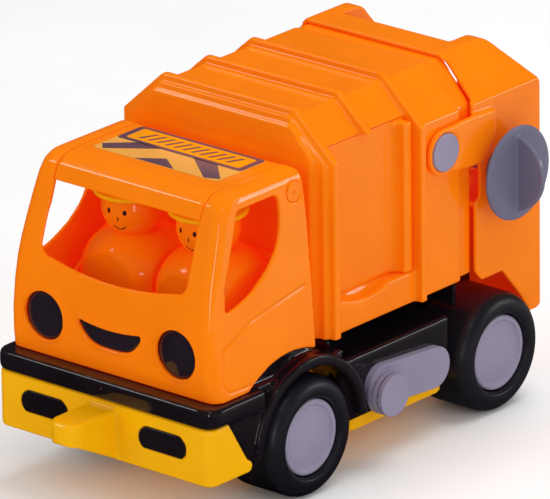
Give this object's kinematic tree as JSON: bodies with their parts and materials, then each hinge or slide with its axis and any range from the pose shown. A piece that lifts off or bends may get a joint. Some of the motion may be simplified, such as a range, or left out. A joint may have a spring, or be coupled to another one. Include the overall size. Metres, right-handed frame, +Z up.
{
  "type": "toy refuse truck",
  "caption": "Moulded toy refuse truck with a lift-up cab roof, seated peg figures, a ribbed hopper, a swing-up tailgate and a turning knob that drives a sweeper paddle.",
  "frame": {"origin": "on the pan's flat underside, directly below the middle of the front axle", "axes": "+Z up, the truck faces -Y, +X is the truck's own left side"},
  "size_m": [0.2437, 0.422, 0.2735],
  "materials": {
    "orange_plastic": "glossy moulded polypropylene",
    "yellow_plastic": "glossy moulded polypropylene",
    "black_plastic": "glossy moulded polypropylene",
    "grey_plastic": "satin moulded polypropylene",
    "tyre_plastic": "satin soft moulded plastic",
    "sticker_film": "printed vinyl film, black and amber chevrons",
    "axle_steel": "bright drawn rod"
  },
  "bodies": {
    "chassis": {"chassis_frame": "black_plastic", "chassis_pan": "yellow_plastic", "bumper_inserts": "black_plastic", "pan_screws": "axle_steel", "tank_left": "grey_plastic", "tank_right": "grey_plastic", "cab_shell": "orange_plastic", "face_insert": "black_plastic", "seat_insert": "orange_plastic", "hatch_pins": "orange_plastic", "hopper_shell": "orange_plastic", "side_panel_left": "orange_plastic", "side_panel_right": "orange_plastic", "tailgate_pins": "grey_plastic"},
    "front_wheelset": {"front_axle": "axle_steel", "tyre_front_left": "tyre_plastic", "tyre_front_right": "tyre_plastic", "hub_front_left": "grey_plastic", "hub_front_right": "grey_plastic"},
    "rear_wheelset": {"rear_axle": "axle_steel", "tyre_rear_left": "tyre_plastic", "tyre_rear_right": "tyre_plastic", "hub_rear_left": "grey_plastic", "hub_rear_right": "grey_plastic"},
    "hatch": {"roof_hatch": "orange_plastic", "roof_sticker": "sticker_film"},
    "driver": {"driver_body": "orange_plastic", "driver_head": "orange_plastic", "driver_hat": "yellow_plastic"},
    "mate": {"mate_body": "orange_plastic", "mate_head": "orange_plastic", "mate_hat": "yellow_plastic"},
    "tailgate": {"tailgate_shell": "orange_plastic", "tailgate_tray": "orange_plastic"},
    "sweeper": {"knob": "grey_plastic", "knob_shaft": "grey_plastic", "paddle": "grey_plastic", "shaft_cap": "grey_plastic"}
  },
  "joints": [
    {"name": "front_axle_spin", "type": "hinge", "parent": "chassis", "child": "front_wheelset", "pos_m": [0, 0, 0.0158], "axis": [1, 0, 0], "continuous": true},
    {"name": "rear_axle_spin", "type": "hinge", "parent": "chassis", "child": "rear_wheelset", "pos_m": [0, 0.21, 0.0158], "axis": [1, 0, 0], "continuous": true},
    {"name": "hatch_hinge", "type": "hinge", "parent": "chassis", "child": "hatch", "pos_m": [0, -0.0011, 0.1976], "axis": [-1, 0, 0], "range_deg": [0, 50]},
    {"name": "driver_lift", "type": "slide", "parent": "chassis", "child": "driver", "axis": [0, 0, 1], "range_m": [0, 0.008]},
    {"name": "mate_lift", "type": "slide", "parent": "chassis", "child": "mate", "axis": [0, 0, 1], "range_m": [0, 0.008]},
    {"name": "tailgate_hinge", "type": "hinge", "parent": "chassis", "child": "tailgate", "pos_m": [0, 0.1532, 0.1852], "axis": [1, 0, 0], "range_deg": [0, 50]},
    {"name": "knob_spin", "type": "hinge", "parent": "tailgate", "child": "sweeper", "pos_m": [0, 0.218, 0.1544], "axis": [1, 0, 0], "continuous": true}
  ]
}
